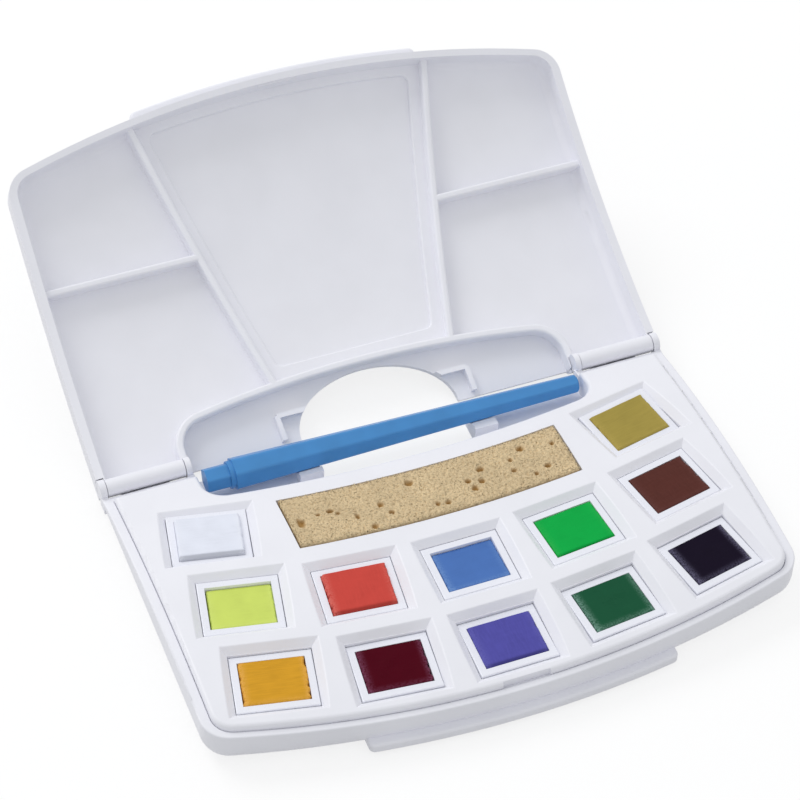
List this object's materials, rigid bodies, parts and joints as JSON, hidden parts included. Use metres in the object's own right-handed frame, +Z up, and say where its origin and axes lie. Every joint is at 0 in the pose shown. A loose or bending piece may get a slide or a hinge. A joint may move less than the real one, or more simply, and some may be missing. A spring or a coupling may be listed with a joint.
{
  "type": "watercolor travel box",
  "caption": "Pocket watercolour box: arched tub with half pans of paint, sponge strip and travel brush, and a hinged mixing palette lid with a thumb hole.",
  "frame": {"origin": "on the tub's flat underside, in the middle of its width, halfway from the hinge line to the middle of the front rim", "axes": "+Z up out of the underside, +X to the right along the hinge line seen from the front, +Y back towards the hinge and the open lid"},
  "size_m": [0.1464, 0.1786, 0.052],
  "materials": {
    "white_plastic": "white moulded polypropylene, fine satin",
    "pan_plastic": "white moulded polystyrene",
    "paint_white": "dried block of watercolour, white",
    "paint_ochre": "dried block of watercolour, ochre",
    "paint_lemon_yellow": "dried block of watercolour, lemon yellow",
    "paint_red": "dried block of watercolour, red",
    "paint_blue": "dried block of watercolour, blue",
    "paint_green": "dried block of watercolour, green",
    "paint_brown": "dried block of watercolour, brown",
    "paint_orange_yellow": "dried block of watercolour, orange yellow",
    "paint_crimson": "dried block of watercolour, crimson",
    "paint_violet": "dried block of watercolour, violet",
    "paint_dark_green": "dried block of watercolour, dark green",
    "paint_indigo": "dried block of watercolour, indigo",
    "sponge": "natural coloured cellulose sponge, open pores",
    "blue_plastic": "blue moulded plastic, semi-gloss",
    "ferrule_metal": "drawn, bright",
    "hair": "brush hair"
  },
  "bodies": {
    "tub": {"base_shell": "white_plastic", "paint_tray": "white_plastic"},
    "lid": {"palette_lid": "white_plastic"},
    "pan_of_white": {"pan_white": "pan_plastic", "paint_white": "paint_white"},
    "pan_of_ochre": {"pan_ochre": "pan_plastic", "paint_ochre": "paint_ochre"},
    "pan_of_lemon_yellow": {"pan_lemon_yellow": "pan_plastic", "paint_lemon_yellow": "paint_lemon_yellow"},
    "pan_of_red": {"pan_red": "pan_plastic", "paint_red": "paint_red"},
    "pan_of_blue": {"pan_blue": "pan_plastic", "paint_blue": "paint_blue"},
    "pan_of_green": {"pan_green": "pan_plastic", "paint_green": "paint_green"},
    "pan_of_brown": {"pan_brown": "pan_plastic", "paint_brown": "paint_brown"},
    "pan_of_orange_yellow": {"pan_orange_yellow": "pan_plastic", "paint_orange_yellow": "paint_orange_yellow"},
    "pan_of_crimson": {"pan_crimson": "pan_plastic", "paint_crimson": "paint_crimson"},
    "pan_of_violet": {"pan_violet": "pan_plastic", "paint_violet": "paint_violet"},
    "pan_of_dark_green": {"pan_dark_green": "pan_plastic", "paint_dark_green": "paint_dark_green"},
    "pan_of_indigo": {"pan_indigo": "pan_plastic", "paint_indigo": "paint_indigo"},
    "sponge_strip": {"sponge": "sponge"},
    "travel_brush": {"brush_tube": "blue_plastic", "brush_plug": "blue_plastic", "brush_ferrule": "ferrule_metal", "brush_bristles": "hair"}
  },
  "joints": [
    {"name": "lid_hinge", "type": "hinge", "parent": "tub", "child": "lid", "pos_m": [0, 0.0457, 0.00693], "axis": [-1, 0, 0], "range_deg": [-148.9, 0]},
    {"name": "lift_white", "type": "slide", "parent": "tub", "child": "pan_of_white", "axis": [0, 0, 1], "range_m": [0, 0.014]},
    {"name": "lift_ochre", "type": "slide", "parent": "tub", "child": "pan_of_ochre", "axis": [0, 0, 1], "range_m": [0, 0.014]},
    {"name": "lift_lemon_yellow", "type": "slide", "parent": "tub", "child": "pan_of_lemon_yellow", "axis": [0, 0, 1], "range_m": [0, 0.014]},
    {"name": "lift_red", "type": "slide", "parent": "tub", "child": "pan_of_red", "axis": [0, 0, 1], "range_m": [0, 0.014]},
    {"name": "lift_blue", "type": "slide", "parent": "tub", "child": "pan_of_blue", "axis": [0, 0, 1], "range_m": [0, 0.014]},
    {"name": "lift_green", "type": "slide", "parent": "tub", "child": "pan_of_green", "axis": [0, 0, 1], "range_m": [0, 0.014]},
    {"name": "lift_brown", "type": "slide", "parent": "tub", "child": "pan_of_brown", "axis": [0, 0, 1], "range_m": [0, 0.014]},
    {"name": "lift_orange_yellow", "type": "slide", "parent": "tub", "child": "pan_of_orange_yellow", "axis": [0, 0, 1], "range_m": [0, 0.014]},
    {"name": "lift_crimson", "type": "slide", "parent": "tub", "child": "pan_of_crimson", "axis": [0, 0, 1], "range_m": [0, 0.014]},
    {"name": "lift_violet", "type": "slide", "parent": "tub", "child": "pan_of_violet", "axis": [0, 0, 1], "range_m": [0, 0.014]},
    {"name": "lift_dark_green", "type": "slide", "parent": "tub", "child": "pan_of_dark_green", "axis": [0, 0, 1], "range_m": [0, 0.014]},
    {"name": "lift_indigo", "type": "slide", "parent": "tub", "child": "pan_of_indigo", "axis": [0, 0, 1], "range_m": [0, 0.014]},
    {"name": "lift_sponge", "type": "slide", "parent": "tub", "child": "sponge_strip", "axis": [0, 0, 1], "range_m": [0, 0.014]},
    {"name": "lift_brush", "type": "slide", "parent": "tub", "child": "travel_brush", "axis": [0, 0, 1], "range_m": [0, 0.02]}
  ]
}
